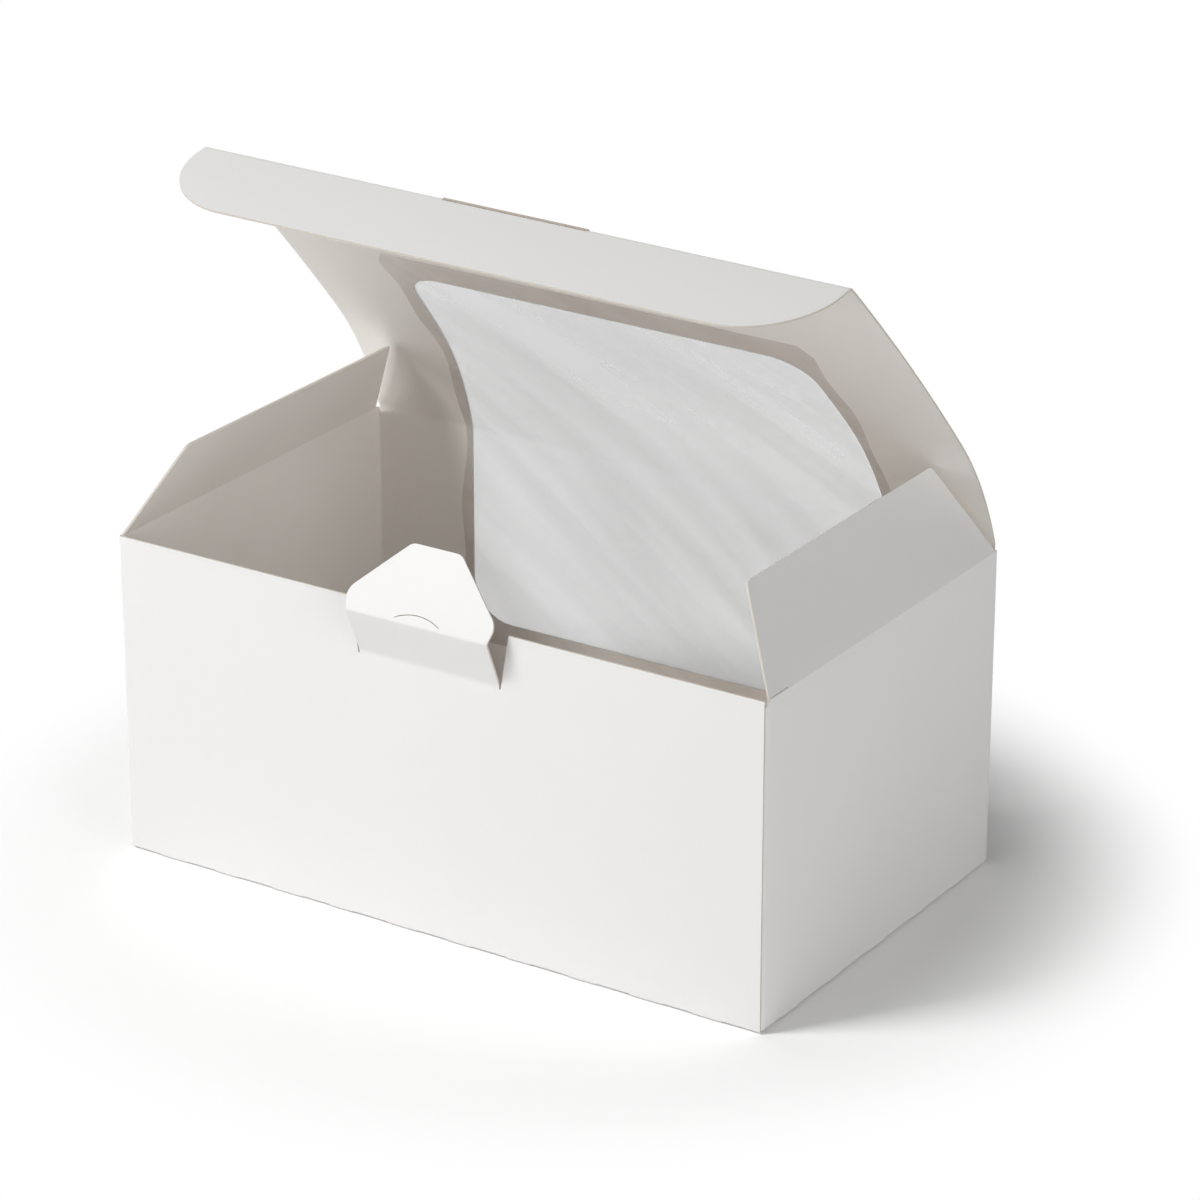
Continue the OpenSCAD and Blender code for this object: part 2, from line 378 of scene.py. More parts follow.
def board_finish(name, light, deep, roughness, bump, tooth_size):
    """Material of one surface of the board, from its light and deep tones."""
    made, tree, shader = new_material(name)
    group = tree.nodes.new("ShaderNodeGroup")
    group.node_tree = fibre
    group.inputs["Light tone"].default_value = (*light, 1)
    group.inputs["Deep tone"].default_value = (*deep, 1)
    group.inputs["Tooth size"].default_value = tooth_size
    relief = tree.nodes.new("ShaderNodeBump")
    relief.inputs["Strength"].default_value = bump
    relief.inputs["Distance"].default_value = 0.05 * MM
    tree.links.new(group.outputs["Colour"], shader.inputs["Base Color"])
    tree.links.new(group.outputs["Height"], relief.inputs["Height"])
    tree.links.new(relief.outputs["Normal"], shader.inputs["Normal"])
    shader.inputs["Roughness"].default_value = roughness
    print("material", name)
    return made


outside = board_finish("board_outside", (0.845, 0.84, 0.83), (0.81, 0.805, 0.795), 0.55, 0.12, 1600)
bare_side = board_finish("board_bare_side", (0.90, 0.865, 0.825), (0.85, 0.81, 0.765), 0.8, 0.25, 1100)
cut_edge = board_finish("board_cut_edge", (0.72, 0.675, 0.61), (0.60, 0.545, 0.475), 0.9, 0.6, 2600)
# The slot edge is the cut edge in a deeper tan: painted shade of the recess at the locking slot.
slot_edge_painted_shade = board_finish("board_slot_edge_painted_shade", (0.50, 0.44, 0.37), (0.38, 0.33, 0.27), 0.9, 0.6, 2600)
BOARD = (outside, bare_side, cut_edge)
BOARD_TURNED = (bare_side, outside, cut_edge)

# %% [markdown]
# The four walls, the two side flaps, the bottom lips and the glue flap are one
# strip of the blank that is wrapped round the box. So they are one piece here
# too: its flat drawing starts with the glue flap behind the front wall and
# runs round the box back to the same corner. `wrap` bends it at the corners,
# over the box for the side flaps, and under it for the bottom lips. Made this
# way, no two panels can part at a fold.

# %% Path of the walls seen from above
WRAP_R = 1.0 * MM
SEAM_Y = BOX_D / 2 - HALF_T - BOARD_T - GLUE_GAP
SIDE_X = BOX_W / 2 - HALF_T
END_Y = BOX_D / 2 - HALF_T
GLUE_W = 12 * MM
GLUE_CUT = 3 * MM
GLUE_LEN = GLUE_W - WRAP_R
RIGHT_LEN = END_Y + SEAM_Y - 2 * WRAP_R
REAR_LEN = 2 * (SIDE_X - WRAP_R)
LEFT_LEN = 2 * (END_Y - WRAP_R)
FRONT_LEN = 2 * SIDE_X - WRAP_R
TURN_LEN = WRAP_R * pi / 2
runs = [
    ((SIDE_X - GLUE_W, -SEAM_Y), (1, 0), GLUE_LEN),
    ((SIDE_X, -SEAM_Y + WRAP_R), (0, 1), RIGHT_LEN),
    ((SIDE_X - WRAP_R, END_Y), (-1, 0), REAR_LEN),
    ((-SIDE_X, END_Y - WRAP_R), (0, -1), LEFT_LEN),
    ((-SIDE_X + WRAP_R, -END_Y), (1, 0), FRONT_LEN),
]
run_start = []
along = 0.0
for start, heading, length in runs:
    run_start.append(along)
    along += length + TURN_LEN
WRAP_END = along - TURN_LEN
RIGHT_U, REAR_U, LEFT_U, FRONT_U = run_start[1:]
print("length of the wrapped strip in mm:", round(WRAP_END / MM, 1))


def wrap_plan(u):
    """Plan point and outward direction at a distance along the wrapped strip."""
    for (start, heading, length), begin in zip(runs, run_start):
        if u <= begin + length + TURN_LEN or begin == FRONT_U:
            break
    hx, hy = heading
    part = u - begin
    if part <= length:
        return start[0] + hx * part, start[1] + hy * part, hy, -hx
    turn = min((part - length) / WRAP_R, pi / 2)
    cx = start[0] + hx * length - hy * WRAP_R
    cy = start[1] + hy * length + hx * WRAP_R
    nx = hy * cos(turn) + hx * sin(turn)
    ny = -hx * cos(turn) + hy * sin(turn)
    return cx + nx * WRAP_R, cy + ny * WRAP_R, nx, ny


# %% Bend of the walls seen from the side
FOLD_R = 0.6 * MM
TOP_FOLD = BOX_H - HALF_T - FOLD_R * sin(FLAP_LEAN)
LOW_FOLD = HALF_T + FOLD_R


def wrap(u, v, out):
    """Folded place of a point of the strip; v is its height before the folds."""
    x, y, nx, ny = wrap_plan(u)
    inward, z, across, up = 0.0, v, 1.0, 0.0
    side_wall = LEFT_U <= u <= LEFT_U + LEFT_LEN or RIGHT_U <= u <= RIGHT_U + RIGHT_LEN
    if v > TOP_FOLD and side_wall:
        turn = min((v - TOP_FOLD) / FOLD_R, FLAP_LEAN)
        rest = v - TOP_FOLD - turn * FOLD_R
        inward = FOLD_R * (1 - cos(turn)) + rest * sin(turn)
        z = TOP_FOLD + FOLD_R * sin(turn) + rest * cos(turn)
        across, up = cos(turn), sin(turn)
    elif v < LOW_FOLD:
        turn = min((LOW_FOLD - v) / FOLD_R, pi / 2)
        rest = LOW_FOLD - v - turn * FOLD_R
        inward = FOLD_R * (1 - cos(turn)) + rest * sin(turn)
        z = LOW_FOLD - FOLD_R * sin(turn) - rest * cos(turn)
        across, up = cos(turn), -sin(turn)
    shift = out * across - inward
    return Vector((x + nx * shift, y + ny * shift, z + out * up))


# %% [markdown]
# The flat drawing is walked once round: along the bottom with its four lips,
# then back along the top, where the rear wall has the window notch, the side
# walls carry their flaps, and the front has the cut-out of the lock tab.

# %% Flat drawing of the wrapped strip
LIP = 24 * MM
LIP_EDGE = LOW_FOLD - FOLD_R * pi / 2
CREASE = 0.8 * MM
TAB_Z = BOX_H - TAB_DROP
TOP_FOLD_END = TOP_FOLD + FOLD_R * FLAP_LEAN
FLAP_EDGE = TOP_FOLD_END + FLAP_LEN - HALF_T
RIM = BOX_H - 0.3 * MM
TIP_ROUND = 1.5 * MM
TIP_SLANT = 0.6 * MM
TIP_DROP = 0.3 * MM
FLAP_CLEAR = 0.8 * MM
LIP_GAP = 0.3 * MM


def lip(start, end):
    """Bottom lip of one wall, with mitred ends."""
    near, far = start + LIP_GAP, end - LIP_GAP
    return [(near, LIP_EDGE), (near + LIP, LIP_EDGE - LIP), (far - LIP, LIP_EDGE - LIP), (far, LIP_EDGE)]


def wall_flap(at_y, direction):
    """Flap of a side wall, walked from its high end to its low end of the strip."""
    base = BOX_D / 2 - FLAP_STEP - FLAP_CLEAR
    tip = BOX_D / 2 - FLAP_TAPER
    high, low = at_y(direction * tip), at_y(-direction * tip)
    return [(at_y(direction * base), RIM), (at_y(direction * base), TOP_FOLD_END),
            (high + TIP_SLANT, FLAP_EDGE - TIP_ROUND), (high, FLAP_EDGE - TIP_DROP),
            (high - TIP_ROUND, FLAP_EDGE), (low + TIP_ROUND, FLAP_EDGE),
            (low, FLAP_EDGE - TIP_DROP), (low - TIP_SLANT, FLAP_EDGE - TIP_ROUND),
            (at_y(-direction * base), TOP_FOLD_END), (at_y(-direction * base), RIM)]


def left_at(y):
    return LEFT_U + END_Y - WRAP_R - y


def right_at(y):
    return RIGHT_U + SEAM_Y - WRAP_R + y


def front_at(x):
    return FRONT_U + SIDE_X - WRAP_R + x


def rear_at(x):
    return REAR_U + SIDE_X - WRAP_R - x


bottom = [(0, 2 * GLUE_CUT), (GLUE_LEN, GLUE_CUT), (GLUE_LEN, LIP_EDGE)]
bottom += lip(RIGHT_U, RIGHT_U + RIGHT_LEN) + lip(REAR_U, REAR_U + REAR_LEN)
bottom += lip(LEFT_U, LEFT_U + LEFT_LEN) + lip(FRONT_U, WRAP_END) + [(WRAP_END, LOW_FOLD - LIP_GAP)]
window_half = WINDOW_W / 2
window_low = WINDOW_SILL + WINDOW_R
rear_top = [(LEFT_U, RIM), (LEFT_U - TURN_LEN, BOX_H - CREASE), (rear_at(-window_half), BOX_H - CREASE)]
rear_top += corner((rear_at(-window_half) - WINDOW_R, window_low), WINDOW_R, 0, -90)
rear_top += corner((rear_at(window_half) + WINDOW_R, window_low), WINDOW_R, -90, -180)
rear_top += [(rear_at(window_half), BOX_H - CREASE), (REAR_U, BOX_H - CREASE), (REAR_U - TURN_LEN, RIM)]
cut_low = TAB_W / 2 + CUT_GAP
cut_high = cut_low + TAB_FLARE
front_top = [(WRAP_END, BOX_H), (front_at(cut_high), BOX_H)]
front_top += [(front_at(cut_low), TAB_Z - CREASE), (front_at(-cut_low), TAB_Z - CREASE)]
front_top += [(front_at(-cut_high), BOX_H), (FRONT_U, BOX_H), (FRONT_U - TURN_LEN, RIM)]
strip = bottom + front_top + wall_flap(left_at, -1) + rear_top + wall_flap(right_at, 1)
strip += [(RIGHT_U, RIM), (GLUE_LEN, BOX_H - GLUE_CUT), (0, BOX_H - 2 * GLUE_CUT)]
print("points in the flat drawing:", len(strip))

# %% Fold the strip into the walls
NICK_START = 2.6 * MM
NICK_END = 10 * MM
NICK_LOW = TOP_FOLD_END + 0.05 * MM
NICK_HIGH = TOP_FOLD_END + 0.25 * MM
fold_lines = []
for begin, (start, heading, length) in zip(run_start, runs):
    fold_lines += [begin] + spaced(begin, begin + length, BOARD_STEP) + [begin + length]
    fold_lines += spaced(begin + length, begin + length + TURN_LEN, TURN_LEN / 6)
fold_lines = [u for u in fold_lines if 0 < u < WRAP_END]
level_lines = spaced(LIP_EDGE - LIP, LIP_EDGE, 8 * MM) + [LIP_EDGE]
level_lines += spaced(LIP_EDGE, LOW_FOLD, FOLD_R / 4) + [LOW_FOLD]
level_lines += spaced(LOW_FOLD, TOP_FOLD, BOARD_STEP) + [TOP_FOLD]
level_lines += spaced(TOP_FOLD, TOP_FOLD_END, FOLD_R / 8) + [TOP_FOLD_END]
level_lines += spaced(TOP_FOLD_END, FLAP_EDGE, 6 * MM)
crease_cuts = []
for at_y in (left_at, right_at):
    start, end = sorted((at_y(-BOX_D / 2 + NICK_START), at_y(-BOX_D / 2 + NICK_END)))
    crease_cuts.append([(start, NICK_LOW), (end, NICK_LOW), (end, NICK_HIGH), (start, NICK_HIGH)])
walls = folded_sheet("walls", strip, wrap, fold_lines, level_lines, crease_cuts, materials=BOARD)
walls_corners = [Vector(c) for c in walls.bound_box]
print("walls reach", [round(max(c[i] for c in walls_corners) / MM, 2) for i in range(3)])
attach(walls, "box")
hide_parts("carton")

# %% [markdown]
# The bottom of such a box is closed by a panel that lies on the turned-in lips. It is a flat sheet with its
# bare side up and its white side down.

# %% Floor panel inside the box
PANEL_Z = 1.5 * BOARD_T + GLUE_GAP
PANEL_GAP = 0.4 * MM
PANEL_X = BOX_W / 2 - BOARD_T - PANEL_GAP
PANEL_Y = BOX_D / 2 - BOARD_T - PANEL_GAP
panel_outline = [(-PANEL_X, -PANEL_Y), (PANEL_X, -PANEL_Y), (PANEL_X, PANEL_Y), (-PANEL_X, PANEL_Y)]


def lay_flat(u, v, out):
    return Vector((u, v, PANEL_Z + out))


floor_panel = folded_sheet("floor_panel", panel_outline, lay_flat, materials=BOARD_TURNED)
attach(floor_panel, "box")

# %% [markdown]
# The lid, its flap, the tab, the film and the crease strips all have one side
# view that is the same from left to right. `across` folds a flat drawing over
# such a side view. `turned` says on which side the outside of the board is.
# A hand-folded lid is never quite square, so everything on the lid also gets
# a small skew: it leans a little to the left and stands higher there.

# %% Fold a drawing over a side view
LID_SHIFT = 1.6 * MM
LID_TWIST = 1.2 * MM


def skewed(point):
    """A point of the lid, moved by the skew of the real lid, which grows with height."""
    share = max(0.0, (point.z - BOX_H) / (TUCK_Z - BOX_H))
    turned_up = LID_TWIST * share * (1 - point.x / (BOX_W / 2))
    return Vector((point.x - LID_SHIFT * share, point.y, point.z + turned_up))


def across(side_view, turned=True):
    """Place function that lays a flat drawing over a side view."""
    side = -1 if turned else 1

    def place(u, v, out):
        y, z, ty, tz = side_view(v)
        point = Vector((side * u, y - side * tz * out, z + side * ty * out))
        return skewed(point) if turned else point

    return place


def crease_line(start, pivot, end, steps=8):
    """Soft bend from a start point to an end point, drawn towards the pivot."""
    points = []
    for i in range(steps + 1):
        t = i / steps
        a, b, c = (1 - t) ** 2, 2 * t * (1 - t), t * t
        points.append(tuple(a * p + b * q + c * r for p, q, r in zip(start, pivot, end)))
    return points


def half_width(s):
    """Half the width of the lid at a distance along it."""
    return (LID_ROOT_W + (LID_FRONT_W - LID_ROOT_W) * s / LID_LEN) / 2


def lid_distance(reach):
    """Distance along the bent lid of a point that is a straight reach from the crease."""
    low, high = 0.0, LID_LEN
    for _ in range(40):
        middle = (low + high) / 2
        y, z = lid_point(middle, 0)
        straight = (HINGE_Y - y) * cos(LID_SLOPE) + (z - BOX_H) * sin(LID_SLOPE)
        low, high = (middle, high) if straight < reach else (low, middle)
    return low


# %% [markdown]
# The lid is drawn flat with its window notch, then bent over the two arcs. Its lines across are closest
# where the bend is tightest. At the locking slot the board is cut along the crease, so when the flap folds
# down, the lid's own cut edge stays up there and shows its tan core, painted darker there as shade of the
# recess.

# %% Lid
lid_stops = [CREASE] + spaced(CREASE, ROOT_LEN, 1.5 * MM) + [ROOT_LEN]
lid_stops += spaced(ROOT_LEN, LID_LEN - CREASE, 6 * MM) + [LID_LEN - CREASE]
SLOT_RAISE = 0.5 * MM
SLOT_PLAY = 0.1 * MM
SLOT_EDGE = LID_LEN + SLOT_RAISE
lid_side, lid_run = profile([lid_point(s, 0) for s in lid_stops + [SLOT_EDGE]])
LID_RUN, SLOT_RUN = lid_run[-2:]


def lid_v(s):
    """Place in the lid's own drawing of a distance along the lid."""
    return (s - CREASE) * LID_RUN / (LID_LEN - 2 * CREASE)


window_top = lid_distance(WINDOW_REACH)
top_half = WINDOW_TOP_W / 2
FRONT_ROUND = 1.2 * MM
edge_half = half_width(LID_LEN)
slot_half = SLOT_LEN / 2 - SLOT_PLAY
lid_outline = [(-half_width(0), 0), (-window_half, 0)]
lid_outline += corner((-top_half + WINDOW_R, lid_v(window_top) - WINDOW_R), WINDOW_R, 180, 90)
lid_outline += corner((top_half - WINDOW_R, lid_v(window_top) - WINDOW_R), WINDOW_R, 90, 0)
lid_outline += [(window_half, 0), (half_width(0), 0)]
lid_outline += corner((edge_half - FRONT_ROUND, LID_RUN - FRONT_ROUND), FRONT_ROUND, 0, 90, 4)
lid_outline += [(slot_half, LID_RUN), (slot_half, SLOT_RUN), (-slot_half, SLOT_RUN), (-slot_half, LID_RUN)]
lid_outline += corner((-edge_half + FRONT_ROUND, LID_RUN - FRONT_ROUND), FRONT_ROUND, 90, 180, 4)
lid_levels = [lid_v(s) for s in lid_stops[1:-1]]
lid = folded_sheet("lid_panel", lid_outline, across(lid_side), spaced(-edge_half, edge_half, BOARD_STEP),
                   lid_levels, materials=BOARD + (slot_edge_painted_shade,))
# The rim faces at the slot get a darker tan, which is painted shade of the recess between the lid and the
# tuck flap.
for face in lid.data.polygons:
    in_slot = abs(face.center.x + LID_SHIFT) < slot_half and face.center.z > TUCK_Z - SLOT_RAISE
    if face.material_index == RIM_FINISH and in_slot:
        face.material_index = EXTRA_FINISH
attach(lid, "lid")
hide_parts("lid")

# %% [markdown]
# The two strips of board beside the window are the living hinge of the lid.
# They bend as the lid opens; here each is drawn in one bend, from the walls at its lower end to the lid at
# its upper end, and is not attached to the lid.

# %% Crease strips of the lid
def crease_strip(name, side_view, run, spans, turned=True):
    """One mesh of the strips that cross a crease, one for each span across."""
    strips = []
    levels = spaced(0, run, run / 8)
    for index, (low, high) in enumerate(spans):
        outline = [(low, 0), (high, 0), (high, run), (low, run)]
        strips.append(folded_sheet(f"{name}_{index}", outline, across(side_view, turned), (), levels,
                                   materials=BOARD))
    joined = bmesh.new()
    for strip_object in strips:
        joined.from_mesh(strip_object.data)
    mesh = strips[0].data
    joined.to_mesh(mesh)
    joined.free()
    for extra in strips[1:]:
        bpy.data.objects.remove(extra)
    made = strips[0]
    made.name = name
    return made


STRIP_GAP = 0.2 * MM
crease_start = (0, HINGE_Y, BOX_H - CREASE)
rear_side, rear_run = profile(crease_line(crease_start[1:], (HINGE_Y, BOX_H), lid_point(CREASE, 0)))
strip_outer = half_width(0) - STRIP_GAP
rear_strip = crease_strip("lid_crease", rear_side, rear_run[-1],
                          [(-strip_outer, -window_half), (window_half, strip_outer)])
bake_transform(rear_strip)

# %% [markdown]
# The tuck flap has large rounded ends, so that it slides into the box, and it
# curls down a little towards its free edge, as board does after creasing.

# %% Tuck flap
TUCK_CURL = radians(3)
TUCK_BACK = 0.02 * MM
tuck_start = (TUCK_Y - CREASE * cos(TUCK_DROP), TUCK_Z - CREASE * sin(TUCK_DROP))
tuck_line = [tuck_start] + arc_step(tuck_start, pi + TUCK_DROP, TUCK_CURL, TUCK_LEN - CREASE, 8)
tuck_side, tuck_run = profile(tuck_line)
TUCK_RUN = tuck_run[-1]
tuck_outline = [(-edge_half, 0), (-SLOT_LEN / 2, 0), (-SLOT_LEN / 2, TUCK_BACK), (SLOT_LEN / 2, TUCK_BACK)]
tuck_outline += [(SLOT_LEN / 2, 0), (edge_half, 0)]
tuck_outline += corner((edge_half - TUCK_ROUND, TUCK_RUN - TUCK_ROUND), TUCK_ROUND, 0, 90, 16)
tuck_outline += corner((-edge_half + TUCK_ROUND, TUCK_RUN - TUCK_ROUND), TUCK_ROUND, 90, 180, 16)
tuck = folded_sheet("tuck_panel", tuck_outline, across(tuck_side), spaced(-edge_half, edge_half, BOARD_STEP),
                    spaced(0, TUCK_RUN, 3 * MM), materials=BOARD)
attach(tuck, "tuck_flap")
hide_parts("tuck_flap")

# %% Crease strips of the tuck flap
lid_end = lid_point(LID_LEN - CREASE, 0)
front_side, front_run = profile(crease_line(lid_end, (TUCK_Y, TUCK_Z), tuck_start))
front_strip = crease_strip("tuck_crease", front_side, front_run[-1],
                           [(-edge_half, -SLOT_LEN / 2), (SLOT_LEN / 2, edge_half)])
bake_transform(front_strip)

# %% [markdown]
# The lock tab is cut out of the front wall and pressed outward. It leans out
# up to its own middle crease and in again above it, so its blunt end stands
# where the slot of the closed lid comes down over it. The half-moon slit is
# there for a thumb that opens the box again.

# %% Lock tab
TAB_Y = -BOX_D / 2 + HALF_T
TAB_FOLD_R = 0.8 * MM
TAB_ARC = TAB_FOLD_R * TAB_BEND
TAB_CURL = radians(4)
tab_out = pi / 2 + TAB_LEAN
tab_start = (TAB_Y + CREASE * cos(tab_out), TAB_Z + CREASE * sin(tab_out))
straight_len = TAB_DROP - CREASE - TAB_ARC / 2
tab_line = [tab_start] + arc_step(tab_start, tab_out, 0, straight_len, 3)
tab_line += arc_step(tab_line[-1], tab_out, -TAB_BEND, TAB_ARC, 8)
tab_line += arc_step(tab_line[-1], tab_out - TAB_BEND, -TAB_CURL, TAB_TIP_LEN - TAB_ARC / 2, 6)
tab_side, tab_run = profile(tab_line)
MIDDLE = TAB_DROP - CREASE
tab_half = TAB_W / 2
tip_half = TAB_TIP_W / 2
TAB_TOP = tab_run[-1]
TAB_ROUND = 4.5 * MM
TAB_SWELL = 0.8 * MM
shoulder = tab_half + TAB_SWELL - TAB_ROUND
tab_outline = [(-tab_half, 0), (tab_half, 0)]
tab_outline += [(tab_half, MIDDLE), (tab_half + TAB_SWELL, MIDDLE + TAB_SHOULDER - TAB_ROUND)]
tab_outline += corner((shoulder, MIDDLE + TAB_SHOULDER - TAB_ROUND), TAB_ROUND, 0, 50, 6)
tab_outline += corner((tip_half, TAB_TOP - TAB_TIP_R), TAB_TIP_R, 50, 90, 4)
tab_outline += corner((-tip_half, TAB_TOP - TAB_TIP_R), TAB_TIP_R, 90, 130, 4)
tab_outline += corner((-shoulder, MIDDLE + TAB_SHOULDER - TAB_ROUND), TAB_ROUND, 130, 180, 6)
tab_outline += [(-tab_half - TAB_SWELL, MIDDLE + TAB_SHOULDER - TAB_ROUND), (-tab_half, MIDDLE)]

# %% Thumb slit and the finished tab
THUMB_W = 12.5 * MM
THUMB_RISE = 1.6 * MM
THUMB_UP = 0.9 * MM
SLIT = 0.2 * MM
thumb_r = ((THUMB_W / 2) ** 2 + THUMB_RISE ** 2) / (2 * THUMB_RISE)
reach = degrees(atan2(THUMB_W / 2, thumb_r - THUMB_RISE))
thumb_centre = (0, MIDDLE + THUMB_UP + THUMB_RISE - thumb_r)
thumb = corner(thumb_centre, thumb_r, 90 - reach, 90 + reach, 12)
thumb += corner(thumb_centre, thumb_r - SLIT, 90 + reach, 90 - reach, 12)
tab_levels = sorted({round(v, 7) for v in tab_run[1:-1]})
tab_lines = spaced(-tab_half, tab_half, 5 * MM)
tab = folded_sheet("lock_tab_panel", tab_outline, across(tab_side, False), tab_lines, tab_levels, [thumb],
                   materials=BOARD)
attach(tab, "lock_tab")
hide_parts("lock_tab")

# %% Crease strip of the lock tab
base_side, base_run = profile(crease_line((TAB_Y, TAB_Z - CREASE), (TAB_Y, TAB_Z), tab_start))
base_strip = crease_strip("lock_tab_crease", base_side, base_run[-1], [(-tab_half, tab_half)], False)
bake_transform(base_strip)

# %% [markdown]
# The film is one patch that is glued behind the window notch of the rear wall
# and under the one of the lid, and it runs through the crease between them.
# It is clear. Over the window, its grey tone and its alpha are painted shade of what shows through it, and
# faint slanting streaks vary both. Its cut edges are not quite straight. It is nearly colourless, so its
# look comes from a low alpha, a smooth gloss and a streak mask.

# %% Finishes of the film
STREAK_TURN = radians(-38)
STREAK_SCALE = (12, 12, 110)
FILM_ROUGHNESS = 0.16
FILM_IOR = 1.45


def film_material(name, tone_low, tone_high, alpha_low, alpha_high):
    """Film with slanting streaks that vary its tone and its alpha."""
    made, tree, shader = new_material(name)
    shader.inputs["Roughness"].default_value = FILM_ROUGHNESS
    shader.inputs["IOR"].default_value = FILM_IOR
    place = tree.nodes.new("ShaderNodeTexCoord").outputs["Object"]
    slant = tree.nodes.new("ShaderNodeMapping")
    slant.inputs["Rotation"].default_value = (0, STREAK_TURN, 0)
    tree.links.new(place, slant.inputs["Vector"])
    stretch = tree.nodes.new("ShaderNodeMapping")
    stretch.inputs["Scale"].default_value = STREAK_SCALE
    tree.links.new(slant.outputs["Vector"], stretch.inputs["Vector"])
    streak = noise(tree, 1, 2)
    tree.links.new(stretch.outputs["Vector"], streak.inputs["Vector"])
    haze = tree.nodes.new("ShaderNodeMapRange")
    haze.interpolation_type = "SMOOTHSTEP"
    haze.inputs["From Min"].default_value = 0.3
    haze.inputs["From Max"].default_value = 0.7
    haze.inputs["To Min"].default_value = alpha_low
    haze.inputs["To Max"].default_value = alpha_high
    tree.links.new(streak.outputs["Fac"], haze.inputs["Value"])
    tree.links.new(haze.outputs["Result"], shader.inputs["Alpha"])
    tone = tree.nodes.new("ShaderNodeMix")
    tone.data_type = "RGBA"
    mix_socket(tone, "A_Color").default_value = (*tone_low, 1)
    mix_socket(tone, "B_Color").default_value = (*tone_high, 1)
    tree.links.new(streak.outputs["Fac"], mix_socket(tone, "Factor_Float"))
    tree.links.new(mix_socket(tone, "Result_Color"), shader.inputs["Base Color"])
    print("material", name)
    return made


# Over the window, the film's grey tone and alpha are painted shade of what is seen through it.
film_haze_painted_shade = film_material("film_over_window_painted_shade", (0.80, 0.83, 0.87), (0.88, 0.90, 0.93), 0.30, 0.38)
glued_film = film_material("film_on_board", (0.58, 0.51, 0.46), (0.66, 0.59, 0.54), 0.12, 0.18)

# %% Film patch
FILM_IN = HALF_T + GLUE_GAP + FILM_T / 2
FILM_LOW = WINDOW_SILL - FILM_LAP
FILM_TOP_LAP = 9 * MM
FILM_SIDE = 3.6 * MM
FILM_CORNER = 3 * MM
FILM_WAVER = 0.7 * MM
WAVER_RATE = 210
film_y = HINGE_Y - FILM_IN
film_line = [(film_y, FILM_LOW)]
film_line += [(film_y, z) for z in spaced(FILM_LOW, BOX_H - CREASE, 8 * MM)]
film_line += crease_line((film_y, BOX_H - CREASE), (film_y, BOX_H), lid_point(CREASE, -FILM_IN))
film_end = lid_distance(WINDOW_REACH + FILM_TOP_LAP)
film_line += [lid_point(s, -FILM_IN) for s in lid_stops[1:] if s < film_end - 1 * MM]
film_line += [lid_point(film_end, -FILM_IN)]
film_side, film_run = profile(film_line)
FILM_RUN = film_run[-1]


def film_half(v):
    """Half width of the film, with the small waver of its cut edge."""
    share = v / FILM_RUN
    straight = (1 - share) * WINDOW_W / 2 + share * WINDOW_TOP_W / 2
    return straight + FILM_SIDE + FILM_WAVER * sin(v * WAVER_RATE)


film_steps = spaced(0, FILM_RUN, 5 * MM)
low_half, high_half = film_half(0) - FILM_CORNER, film_half(FILM_RUN) - FILM_CORNER
film_outline = [(-low_half, 0), (low_half, 0)] + [(film_half(v), v) for v in film_steps]
film_outline += [(high_half, FILM_RUN), (-high_half, FILM_RUN)]
film_outline += [(-film_half(v), v) for v in reversed(film_steps)]
edge_low = WINDOW_SILL - FILM_LOW
edge_high = BOX_H - FILM_LOW + window_top
window_drawing = corner((-window_half + WINDOW_R, edge_low + WINDOW_R), WINDOW_R, 180, 270)
window_drawing += corner((window_half - WINDOW_R, edge_low + WINDOW_R), WINDOW_R, 270, 360)
window_drawing += [(window_half, BOX_H - FILM_LOW)]
window_drawing += corner((top_half - WINDOW_R, edge_high - WINDOW_R), WINDOW_R, 0, 90)
window_drawing += corner((-top_half + WINDOW_R, edge_high - WINDOW_R), WINDOW_R, 90, 180)
window_drawing += [(-window_half, BOX_H - FILM_LOW)]
film_lines = spaced(-window_half, window_half, 12 * MM)
film = folded_sheet("window_film", film_outline, across(film_side), film_lines, sorted(film_run[1:-1]),
                    patches=[window_drawing], thick=FILM_T,
                    materials=(glued_film, glued_film, glued_film, film_haze_painted_shade))
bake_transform(film)
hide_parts("wall_window", "lid_window")

# %% [markdown]
# The bottom creases are perforated so that they fold easily. Between the cuts
# the outer layer stays flat, which shows as small steps along the lower edge.
# Geometry Nodes set one short bar of board at each of these steps: a curve is
# sampled at a given spacing, and a bar is placed at every point along it.

# %% Node tree for the perforated crease
BAR_R = 0.28 * MM


